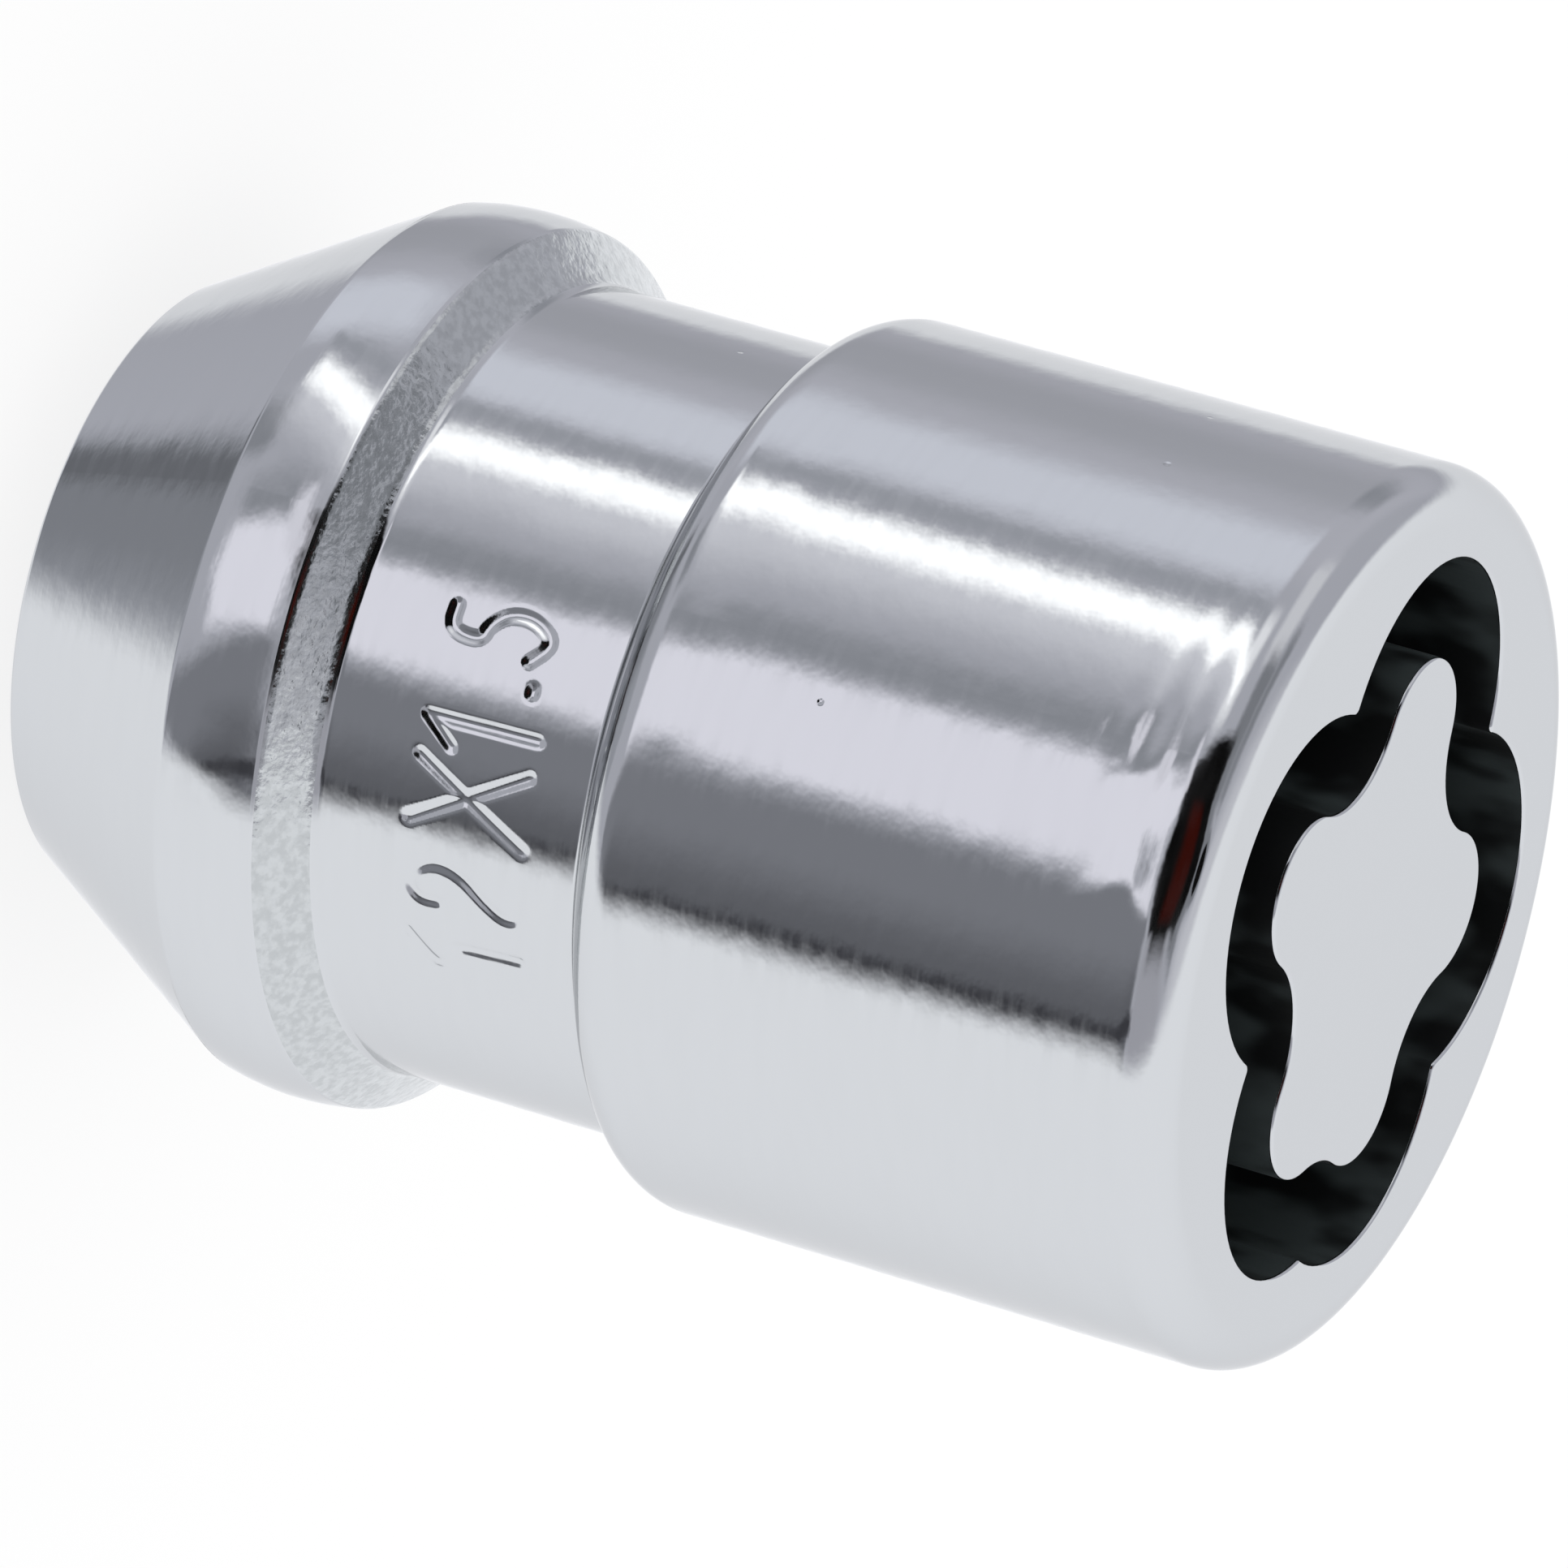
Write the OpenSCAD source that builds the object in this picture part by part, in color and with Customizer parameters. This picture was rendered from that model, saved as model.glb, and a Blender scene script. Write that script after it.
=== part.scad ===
// Closed-end locking wheel nut, turned and forged in one piece from chrome-plated steel.
// It stands on its seat end: the nut's axis is Z, the seat end is at z = 0 and the key face is on top.

/* [Overall] */
// Length from the seat end to the key face
total_l = 32.5; // [30:0.5:42]
// Diameter of the head
head_d = 22; // [20:0.5:26]
// Radius between the head's side and the key face
key_end_r = 1.1; // [0.4:0.1:2]

/* [Conical seat] */
// Diameter of the small end of the seat
seat_end_d = 14.9; // [14:0.1:17]
// Included angle of the seat
seat_angle = 60; // [50:1:90]
// Radius on the edge of the seat end
seat_edge_r = 0.3; // [0.1:0.1:0.6]

/* [Flange] */
// Diameter over the crowned flange
flange_d = 22.1; // [21:0.1:25]
// Width of the flange along the axis
flange_w = 2.7; // [1.5:0.1:4]
// Radius of the flange's crown along the axis
flange_crown_r = 6.5; // [4:0.5:20]
// Angle of the flange's unpolished back slope, from the axis
flange_back_angle = 51; // [35:1:75]
// Radius on the flange's back edge
flange_back_r = 0.4; // [0.1:0.1:0.6]

/* [Neck] */
// Diameter of the neck
neck_d = 19.5; // [17:0.1:20.5]
// Distance from the seat end to the head's shoulder
shoulder_z = 16.6; // [14:0.1:20]
// Fillet between the flange's back and the neck
neck_fillet_r = 0.5; // [0.1:0.1:1]

/* [Shoulder] */
// Angle of the shoulder, from the axis
shoulder_angle = 60; // [40:1:80]
// Radius between the shoulder and the head's side
shoulder_r = 1.5; // [0.3:0.1:2]
// Fillet between the neck and the shoulder
crease_r = 0.15; // [0.05:0.05:0.5]

/* [Stud thread] */
// Nominal diameter of the stud's thread
thread_d = 12; // [10:0.5:13]
// Pitch of the thread
thread_pitch = 1.5; // [1:0.25:2]
// Depth of the bore's straight wall from the seat end
bore_l = 21; // [14:0.5:22]
// Point angle of the drilled bottom
drill_angle = 118; // [90:1:140]
// How much wider the chamfered mouth is than the thread
mouth_extra_d = 0.6; // [0.2:0.1:1]

/* [Key groove] */
// Radius of each lobe of the groove's outer wall
lobe_r = 4.25; // [3.9:0.05:4.4]
// Width of the groove between its two walls
groove_w = 2.4; // [1.5:0.1:3]
// Depth of the groove below the key face
groove_depth = 6.5; // [3:0.5:8]
// Radius on the corners where two lobes meet
lobe_corner_r = 0.2; // [0.05:0.05:0.6]

/* [Hidden] */

// The key's code: the direction of each lobe in degrees, and how far its centre lies off the axis
lobe_at = [-177, -95, -9, 32, 103];
lobe_throw = [4.7, 4.3, 4.4, 4.4, 4.4];

// Degrees that one chord of a small arc spans, and the same for a wall of the groove
arc_step = 9;
wall_step = 6;
round_fn = 128;
// Overlap of a cut with the space outside the face that it starts from
cut_over = 1;

seat_end_r = seat_end_d / 2;
head_r = head_d / 2;
neck_r = neck_d / 2;
flange_r = flange_d / 2;

// The crown is an arc, so its ends lie a little inside the flange's full radius and lean by flange_lean
flange_lean = asin(flange_w / 2 / flange_crown_r);
flange_edge_r = flange_r - flange_crown_r * (1 - cos(flange_lean));
flange_apex_r = flange_r + flange_crown_r * (1 / cos(flange_lean) - 1);
seat_top_z = (flange_edge_r - seat_end_r) / tan(seat_angle / 2);
flange_back_z = seat_top_z + flange_w;
neck_z = flange_back_z + (flange_edge_r - neck_r) / tan(flange_back_angle);
head_z = shoulder_z + (head_r - neck_r) / tan(shoulder_angle);

// A triangle thread loses this share of its pitch between nominal and minor diameter
thread_share = 5 / 8 * sqrt(3);
bore_r = (thread_d - thread_share * thread_pitch) / 2;
mouth_r = (thread_d + mouth_extra_d) / 2;

// Corners of the nut's half section from the seat end to the key face: radius, height, rounding
section = [
    [seat_end_r, 0, seat_edge_r],
    [flange_edge_r, seat_top_z, 0],
    [flange_apex_r, seat_top_z + flange_w / 2, flange_crown_r],
    [flange_edge_r, flange_back_z, flange_back_r],
    [neck_r, neck_z, neck_fillet_r],
    [neck_r, shoulder_z, crease_r],
    [head_r, head_z, shoulder_r],
    [head_r, total_l, key_end_r],
];

function direction(v) = atan2(v[1], v[0]);
function polar(angle, r) = r * [cos(angle), sin(angle)];

// Points on an arc round centre c, from one angle to another
function arc(c, r, from, to, step) =
    let (n = max(1, ceil(abs(to - from) / step)))
    [for (i = [0:n]) c + polar(from + (to - from) * i / n, r)];

// Signed turn at b on the way from a to c
function turn(a, b, c) =
    let (t = direction(c - b) - direction(b - a))
    t > 180 ? t - 360 : t < -180 ? t + 360 : t;

// Length that the rounding of a corner takes from each of its two edges
function tangent_l(a, b, c, r) = r * tan(abs(turn(a, b, c)) / 2);

// The corners of a path with their roundings; two roundings that meet on one edge share its length
function rounded(path) =
    let (
        last = len(path) - 1,
        p = [for (q = path) [q[0], q[1]]],
        t = [for (i = [0:last])
            i == 0 || i == last ? 0 : tangent_l(p[i - 1], p[i], p[i + 1], path[i][2])]
    )
    [for (i = [0:last]) each
        t[i] == 0 ? [p[i]] :
        let (
            back = norm(p[i - 1] - p[i]) / (t[i - 1] + t[i]),
            ahead = norm(p[i + 1] - p[i]) / (t[i] + t[i + 1]),
            fit = min(1, back, ahead),
            bend = turn(p[i - 1], p[i], p[i + 1]),
            side = sign(bend),
            r = path[i][2] * fit,
            in_angle = direction(p[i] - p[i - 1]),
            start = p[i] - polar(in_angle, t[i] * fit)
        )
        arc(start + polar(in_angle + 90 * side, r), r,
            in_angle - 90 * side, in_angle - 90 * side + bend, arc_step)
    ];

// Centre of each lobe, and the next lobe round the axis
lobes = len(lobe_at);
lobe_c = [for (i = [0:lobes - 1]) polar(lobe_at[i], lobe_throw[i])];
function next_lobe(i) = (i + 1) % lobes;

// Centre of the rounded corner between a lobe and the next: it touches both lobes from outside
function corner_c(i) =
    let (
        a = lobe_c[i],
        b = lobe_c[next_lobe(i)],
        half = norm(b - a) / 2,
        out = [b[1] - a[1], a[0] - b[0]] / (2 * half)
    )
    (a + b) / 2 + out * sqrt(pow(lobe_r + lobe_corner_r, 2) - half * half);

// Angle to, turned up or down by whole turns until it follows angle from
function after(from, to) = to <= from ? after(from, to + 360) : to;
function before(from, to) = to >= from ? before(from, to - 360) : to;

// Outline of the groove's wall that lies inset inside the outer wall: each lobe, then its corner
function groove_wall(inset) = [
    for (i = [0:lobes - 1])
    let (
        c = lobe_c[i],
        corner = corner_c(i),
        lobe_from = direction(corner_c((i + lobes - 1) % lobes) - c),
        lobe_to = after(lobe_from, direction(corner - c)),
        corner_from = direction(c - corner),
        corner_to = before(corner_from, direction(lobe_c[next_lobe(i)] - corner))
    )
    each concat(
        arc(c, lobe_r - inset, lobe_from, lobe_to, wall_step),
        arc(corner, lobe_corner_r + inset, corner_from, corner_to, wall_step)
    )
];

// Solid of revolution with the seat, flange, neck and head
module blank() {
    rotate_extrude($fn = round_fn)
        polygon(concat([[0, 0]], rounded(concat([[0, 0, 0]], section, [[0, total_l, 0]]))));
}

// Blind hole for the stud: chamfered mouth, straight wall at the thread's minor diameter, drilled point
module stud_bore() {
    translate([0, 0, -cut_over])
        cylinder(r = bore_r, h = bore_l + cut_over, $fn = round_fn);
    translate([0, 0, -cut_over])
        cylinder(r1 = mouth_r + cut_over, r2 = bore_r, h = mouth_r - bore_r + cut_over, $fn = round_fn);
    translate([0, 0, bore_l])
        cylinder(r1 = bore_r, r2 = 0, h = bore_r / tan(drill_angle / 2), $fn = round_fn);
}

// Closed ring of even width round an island that stays flush with the key face
module key_groove() {
    translate([0, 0, total_l - groove_depth])
        linear_extrude(groove_depth + cut_over)
            difference() {
                polygon(groove_wall(0));
                polygon(groove_wall(groove_w));
            }
}

module nut_body() {
    color("silver")
        difference() {
            blank();
            stud_bore();
            key_groove();
        }
}

nut_body();
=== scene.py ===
"""Visual model of a closed-end locking wheel nut, chrome plated, standing on its seat end.

The nut's lengths are millimetres: each mesh is modelled in millimetres and brought to metres at the end.
The floor's and the lamp's are metres.
"""

import logging
import math
from dataclasses import dataclass, field
from enum import Enum
from functools import cached_property
from typing import Iterator

import bpy
from bpy.types import Material, MeshPolygon, Node, NodeSocket, NodeTree, Object
from mathutils import Matrix, Vector

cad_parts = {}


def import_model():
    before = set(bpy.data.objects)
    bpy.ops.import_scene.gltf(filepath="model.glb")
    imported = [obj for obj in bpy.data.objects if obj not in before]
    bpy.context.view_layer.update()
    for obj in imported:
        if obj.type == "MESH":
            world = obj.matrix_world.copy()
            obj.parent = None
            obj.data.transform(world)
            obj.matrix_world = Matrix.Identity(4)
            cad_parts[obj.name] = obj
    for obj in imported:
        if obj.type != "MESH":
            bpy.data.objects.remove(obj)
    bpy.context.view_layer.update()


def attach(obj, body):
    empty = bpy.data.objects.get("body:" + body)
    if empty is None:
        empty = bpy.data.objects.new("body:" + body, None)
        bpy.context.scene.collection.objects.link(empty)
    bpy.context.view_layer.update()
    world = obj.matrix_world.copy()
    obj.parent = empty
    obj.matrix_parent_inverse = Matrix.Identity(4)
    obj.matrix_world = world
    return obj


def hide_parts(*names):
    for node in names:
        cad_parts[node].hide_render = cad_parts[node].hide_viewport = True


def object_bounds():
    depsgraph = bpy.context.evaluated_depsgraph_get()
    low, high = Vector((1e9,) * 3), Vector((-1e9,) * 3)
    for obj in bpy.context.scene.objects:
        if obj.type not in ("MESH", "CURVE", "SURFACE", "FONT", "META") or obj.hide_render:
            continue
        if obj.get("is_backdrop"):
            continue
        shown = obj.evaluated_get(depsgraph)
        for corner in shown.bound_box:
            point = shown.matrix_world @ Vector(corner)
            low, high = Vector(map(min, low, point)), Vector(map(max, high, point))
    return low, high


log = logging.getLogger("wheel_nut")

MM = 0.001
BODY = "root"
NODE = "nut_body"
PHOTO_PX = 1932
WHITE = (1.0, 1.0, 1.0, 1.0)
# A little over 1, so that rounding never leaves a negative number under a square root
ROOT_GUARD = 1.0001


class Slot(Enum):
    """Material slots of the nut's mesh, in order."""

    CHROME = 0
    SATIN = 1
    GROOVE = 2
    THREAD = 3


def linear(value: float) -> float:
    """Turn one sRGB channel from 0 to 1 into linear light."""
    return value / 12.92 if value <= 0.04045 else ((value + 0.055) / 1.055) ** 2.4


def colour(hex_code: str) -> tuple[float, float, float, float]:
    """Turn an sRGB hex colour into a linear RGBA colour.

    Args:
        hex_code: Six hex digits after a hash sign.

    Returns:
        The linear red, green and blue, with an alpha of 1.
    """
    channels = [int(hex_code[i : i + 2], 16) / 255 for i in (1, 3, 5)]
    return (*(linear(c) for c in channels), 1.0)


def add_node(tree: NodeTree, kind: str, links: dict | None = None, **settings) -> Node:
    """Add a node with its settings, socket values and incoming links.

    Args:
        tree: Node tree that gets the node.
        kind: Blender's type name of the node.
        links: For each input, by name or number, a value or the output socket that feeds it.
        settings: Properties of the node itself.

    Returns:
        The new node.
    """
    node = tree.nodes.new(kind)
    for name, value in settings.items():
        setattr(node, name, value)
    for key, value in (links or {}).items():
        if isinstance(value, NodeSocket):
            tree.links.new(value, node.inputs[key])
        else:
            node.inputs[key].default_value = value
    return node


def math_node(tree: NodeTree, operation: str, *values: float | NodeSocket) -> NodeSocket:
    """Add a Math node on up to three values or sockets and return its output."""
    return add_node(tree, "ShaderNodeMath", dict(enumerate(values)), operation=operation).outputs[0]


def mix_colours(
    tree: NodeTree, share: NodeSocket, below: tuple | NodeSocket, above: tuple | NodeSocket
) -> NodeSocket:
    """Blend one colour or socket over another by a share.

    Args:
        tree: Node tree that gets the node.
        share: Share of the colour above.
        below: Colour or socket below.
        above: Colour or socket above.

    Returns:
        The blended colour as a socket.
    """
    mix = add_node(tree, "ShaderNodeMix", None, data_type="RGBA")
    for name, value in (("Factor", share), ("A", below), ("B", above)):
        socket = next(s for s in mix.inputs if s.name == name and s.enabled)
        if isinstance(value, NodeSocket):
            tree.links.new(value, socket)
        else:
            socket.default_value = value
    return next(s for s in mix.outputs if s.enabled)


def smooth_step(tree: NodeTree, value: NodeSocket, low: float, high: float) -> NodeSocket:
    """Map a value to a smooth rise from 0 at low to 1 at high, or a fall where low is above high."""
    links = {"Value": value, "From Min": low, "From Max": high}
    return add_node(tree, "ShaderNodeMapRange", links, interpolation_type="SMOOTHSTEP").outputs["Result"]


def deselect_all() -> None:
    """Leave edit mode and deselect every object."""
    if bpy.context.object and bpy.context.object.mode != "OBJECT":
        bpy.ops.object.mode_set(mode="OBJECT")
    bpy.ops.object.select_all(action="DESELECT")


def make_active(obj: Object) -> None:
    """Select one object alone and make it the active one."""
    deselect_all()
    obj.select_set(True)
    bpy.context.view_layer.objects.active = obj


def start_vertex(name: str, place: Vector) -> Object:
    """Add a small plane, merge it to one vertex at a place and leave it selected in edit mode.

    Args:
        name: Name of the new object.
        place: Place of the vertex, in millimetres.

    Returns:
        The new object, in edit mode.
    """
    deselect_all()
    bpy.ops.mesh.primitive_plane_add(size=1.0, location=(0, 0, 0))
    obj = bpy.context.object
    obj.name = name
    bpy.ops.object.mode_set(mode="EDIT")
    bpy.ops.mesh.select_all(action="SELECT")
    bpy.ops.mesh.merge(type="CENTER")
    bpy.ops.transform.translate(value=place)
    return obj


def extrude_chain(points: list[Vector]) -> None:
    """Extrude the selected vertex through a row of points, from the first to the last."""
    for here, there in zip(points, points[1:]):
        bpy.ops.mesh.extrude_region_move(TRANSFORM_OT_translate={"value": there - here})


def face_outwards() -> None:
    """Turn every face of the mesh in edit mode outwards, and leave edit mode."""
    bpy.ops.mesh.select_all(action="SELECT")
    bpy.ops.mesh.normals_make_consistent(inside=False)
    bpy.ops.object.mode_set(mode="OBJECT")


def apply_modifier(obj: Object, kind: str, **settings) -> None:
    """Add a modifier with its settings and apply it."""
    make_active(obj)
    modifier = obj.modifiers.new(kind.title(), kind)
    for name, value in settings.items():
        setattr(modifier, name, value)
    bpy.ops.object.modifier_apply(modifier=modifier.name)


def to_metres(obj: Object) -> None:
    """Shrink a mesh modelled in millimetres to metres, with its object left unscaled."""
    make_active(obj)
    obj.scale = (MM, MM, MM)
    bpy.ops.object.transform_apply(location=False, rotation=False, scale=True)


def polar(angle: float, radius: float) -> Vector:
    """Return the flat point at an angle in degrees and a radius."""
    return Vector((math.cos(math.radians(angle)), math.sin(math.radians(angle)))) * radius


def heading(v: Vector) -> float:
    """Return the direction of a flat vector in degrees."""
    return math.degrees(math.atan2(v[1], v[0]))


def arc(centre: Vector, radius: float, start: float, end: float, step: float) -> list[Vector]:
    """Return points on an arc.

    Args:
        centre: Flat centre of the arc.
        radius: Radius of the arc.
        start: Angle of the first point, in degrees.
        end: Angle of the last point, in degrees.
        step: Most degrees between two points.

    Returns:
        The points, both ends included.
    """
    count = max(1, math.ceil(abs(end - start) / step))
    return [centre + polar(start + (end - start) * i / count, radius) for i in range(count + 1)]


@dataclass
class Profile:
    """Half section of the nut, as corners with roundings."""

    length: float = 32.5
    head_r: float = 11.0
    key_end_r: float = 1.2
    seat_end_r: float = 7.45
    seat_half_angle: float = 30.0
    seat_edge_r: float = 0.3
    flange_r: float = 11.03
    flange_w: float = 2.7
    crown_r: float = 6.5
    flange_back_angle: float = 51.0
    flange_back_r: float = 0.4
    neck_r: float = 9.75
    shoulder_z: float = 16.6
    neck_fillet_r: float = 0.5
    shoulder_angle: float = 60.0
    shoulder_r: float = 1.15
    crease_r: float = 0.15
    bore_r: float = 5.188
    groove_root_r: float = 6.05
    thread_end: float = 19.4
    bore_l: float = 21.0
    drill_half_angle: float = 59.0
    mouth_r: float = 6.3
    key_face_r: float = 9.5
    arc_step: float = 3.5
    row_step: float = 0.7
    # Stretches shorter than this are left out, and a row's spacing is read this far past the row
    least: float = 1e-4
    # A last row shorter than this joins the one before
    stub: float = 0.02
    # Start, end and spacing of the rows where the stamp, the shoulder's swells and the key end's swells lie
    fine_rows: tuple[tuple[float, float, float], ...] = (
        (11.5, 15.75, 0.065),
        (17.4, 20.2, 0.14),
        (28.6, 31.3, 0.1),
    )

    @property
    def lean(self) -> float:
        """Lean of the crown's ends, in degrees."""
        return math.degrees(math.asin(self.flange_w / 2 / self.crown_r))

    @property
    def flange_edge_r(self) -> float:
        """Radius of the flange's two edges."""
        return self.flange_r - self.crown_r * (1 - math.cos(math.radians(self.lean)))

    @property
    def seat_top(self) -> float:
        """Height of the seat's large end."""
        return (self.flange_edge_r - self.seat_end_r) / math.tan(math.radians(self.seat_half_angle))

    @property
    def flange_back(self) -> float:
        """Height of the flange's back edge."""
        return self.seat_top + self.flange_w

    @property
    def neck_start(self) -> float:
        """Height where the back slope would meet the neck without its fillet."""
        fall = self.flange_edge_r - self.neck_r
        return self.flange_back + fall / math.tan(math.radians(self.flange_back_angle))

    @property
    def head_start(self) -> float:
        """Height where the shoulder would meet the head without its rounding."""
        return self.shoulder_z + (self.head_r - self.neck_r) / math.tan(math.radians(self.shoulder_angle))

    def corners(self) -> list[tuple[float, float, float]]:
        """Return the outer corners from the seat end to the key face: radius, height, rounding."""
        apex = self.flange_r + self.crown_r * (1 / math.cos(math.radians(self.lean)) - 1)
        return [
            (self.mouth_r, 0, 0),
            (self.seat_end_r, 0, self.seat_edge_r),
            (self.flange_edge_r, self.seat_top, 0),
            (apex, self.seat_top + self.flange_w / 2, self.crown_r),
            (self.flange_edge_r, self.flange_back, self.flange_back_r),
            (self.neck_r, self.neck_start, self.neck_fillet_r),
            (self.neck_r, self.shoulder_z, self.crease_r),
            (self.head_r, self.head_start, self.shoulder_r),
            (self.head_r, self.length, self.key_end_r),
            (self.key_face_r, self.length, 0),
        ]

    def rounded(self) -> list[Vector]:
        """Return the outer outline with every corner rounded; two roundings share the edge between them."""
        corners = self.corners()
        points = [Vector(c[:2]) for c in corners]
        last = len(corners) - 1

        def turn(i: int) -> float:
            """Return the signed turn at a corner, in degrees."""
            bend = heading(points[i + 1] - points[i]) - heading(points[i] - points[i - 1])
            return (bend + 180) % 360 - 180

        takes = [0.0] * (last + 1)
        for i in range(1, last):
            takes[i] = corners[i][2] * math.tan(math.radians(abs(turn(i)) / 2))
        outline: list[Vector] = []
        for i, point in enumerate(points):
            if not takes[i]:
                outline.append(point)
                continue
            room = [(points[i + n] - point).length / (takes[i] + takes[i + n] or 1) for n in (-1, 1)]
            fit = min(1.0, *room)
            radius = corners[i][2] * fit
            bend = turn(i)
            side = math.copysign(1, bend)
            before = heading(point - points[i - 1])
            centre = point - polar(before, takes[i] * fit) + polar(before + 90 * side, radius)
            start = before - 90 * side
            outline += arc(centre, radius, start, start + bend, self.arc_step)
        return outline

    def bore(self) -> list[Vector]:
        """Return the bore's outline from the drill's tip down to the chamfered mouth."""
        tip = self.bore_l + self.bore_r / math.tan(math.radians(self.drill_half_angle))
        run_out = self.groove_root_r - self.bore_r
        return [
            Vector((0, tip)),
            Vector((self.bore_r, self.bore_l)),
            Vector((self.bore_r, self.thread_end + run_out)),
            Vector((self.groove_root_r, self.thread_end)),
            Vector((self.groove_root_r, self.mouth_r - self.groove_root_r)),
        ]

    def spacing(self, height: float) -> float:
        """Return the most that two rows of the outer surface lie apart at a height."""
        for low, high, step in self.fine_rows:
            if low <= height <= high:
                return step
            if height < low < height + self.row_step:
                return low - height
        return self.row_step

    def rows(self) -> list[Vector]:
        """Return the whole half section, with the outside's long stretches cut into rows."""
        outline = self.rounded()
        rows = self.bore() + outline[:1]
        for here, there in zip(outline, outline[1:]):
            rows += list(self.cut(here, there))
        return rows

    def cut(self, here: Vector, there: Vector) -> Iterator[Vector]:
        """Yield points from one end of a stretch to the other, each a row's spacing on.

        Args:
            here: Start of the stretch, not yielded.
            there: End of the stretch, yielded last.

        Yields:
            Points of the half section.
        """
        along = there - here
        length = along.length
        if length < self.least:
            return
        done = 0.0
        while True:
            done += self.spacing((here + along * (done / length))[1] + self.least)
            if done >= length - self.stub:
                break
            yield here + along * (done / length)
        yield there


@dataclass
class KeyGroove:
    """Closed groove of even width with one lobe for each step of the key's code, round an island."""

    lobe_at: tuple[float, ...] = (-177, -95, -9, 32, 103)
    lobe_throw: tuple[float, ...] = (4.7, 4.3, 4.4, 4.4, 4.4)
    lobe_r: float = 4.25
    width: float = 2.4
    depth: float = 6.5
    corner_r: float = 0.2
    lip_r: float = 0.09
    lip_segments: int = 3
    arc_step: float = 4.0
    # How far the cutting prism stands out of the key face
    over: float = 1.0
    # The island's prism is stretched, so that it passes through both ends of the ring's
    island_stretch: float = 2.0

    def lobe(self, i: int) -> Vector:
        """Return the centre of a lobe, counted round and round."""
        i %= len(self.lobe_at)
        return polar(self.lobe_at[i], self.lobe_throw[i])

    def corner(self, i: int) -> Vector:
        """Return the centre of the rounded corner between a lobe and the next."""
        here, there = self.lobe(i), self.lobe(i + 1)
        half = (there - here).length / 2
        out = Vector((here[1] - there[1], there[0] - here[0])) / (-2 * half)
        return (here + there) / 2 + out * math.sqrt((self.lobe_r + self.corner_r) ** 2 - half**2)

    def wall(self, inset: float) -> list[Vector]:
        """Return the closed outline that lies a constant distance inside the groove's outer wall.

        Args:
            inset: Distance inside the outer wall, in millimetres.

        Returns:
            The outline's points, each once.
        """
        outline: list[Vector] = []
        for i in range(len(self.lobe_at)):
            centre, corner = self.lobe(i), self.corner(i)
            start = heading(self.corner(i - 1) - centre)
            end = start + (heading(corner - centre) - start) % 360
            outline += arc(centre, self.lobe_r - inset, start, end, self.arc_step)[:-1]
            start = heading(centre - corner)
            end = start - (start - heading(self.lobe(i + 1) - corner)) % 360
            outline += arc(corner, self.corner_r + inset, start, end, self.arc_step)[:-1]
        return outline

    def prism(self, name: str, inset: float, top: float) -> Object:
        """Extrude one outline into a prism that starts at the groove's floor and stands out of the key face.

        Args:
            name: Name of the prism.
            inset: Distance of its wall inside the groove's outer wall.
            top: Height of the key face.

        Returns:
            The prism, in object mode.
        """
        floor = top - self.depth
        points = [Vector((p[0], p[1], floor)) for p in self.wall(inset)]
        obj = start_vertex(name, points[0])
        extrude_chain(points)
        bpy.ops.mesh.select_all(action="SELECT")
        bpy.ops.mesh.edge_face_add()
        bpy.ops.mesh.extrude_region_move(TRANSFORM_OT_translate={"value": (0, 0, self.depth + self.over)})
        face_outwards()
        return obj

    def cutter(self, top: float) -> Object:
        """Return the ring that cuts the groove: the outer prism less the island's prism."""
        ring = self.prism("groove_cutter", 0.0, top)
        island = self.prism("groove_island", self.width, top)
        island.scale.z = self.island_stretch
        island.location.z = -top * (self.island_stretch - 1)
        make_active(island)
        bpy.ops.object.transform_apply(location=True, rotation=False, scale=True)
        subtract(ring, island)
        return ring


def subtract(obj: Object, tool: Object) -> None:
    """Cut one mesh out of another and delete the tool."""
    apply_modifier(obj, "BOOLEAN", operation="DIFFERENCE", object=tool, solver="EXACT")
    bpy.data.objects.remove(tool, do_unlink=True)


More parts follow.
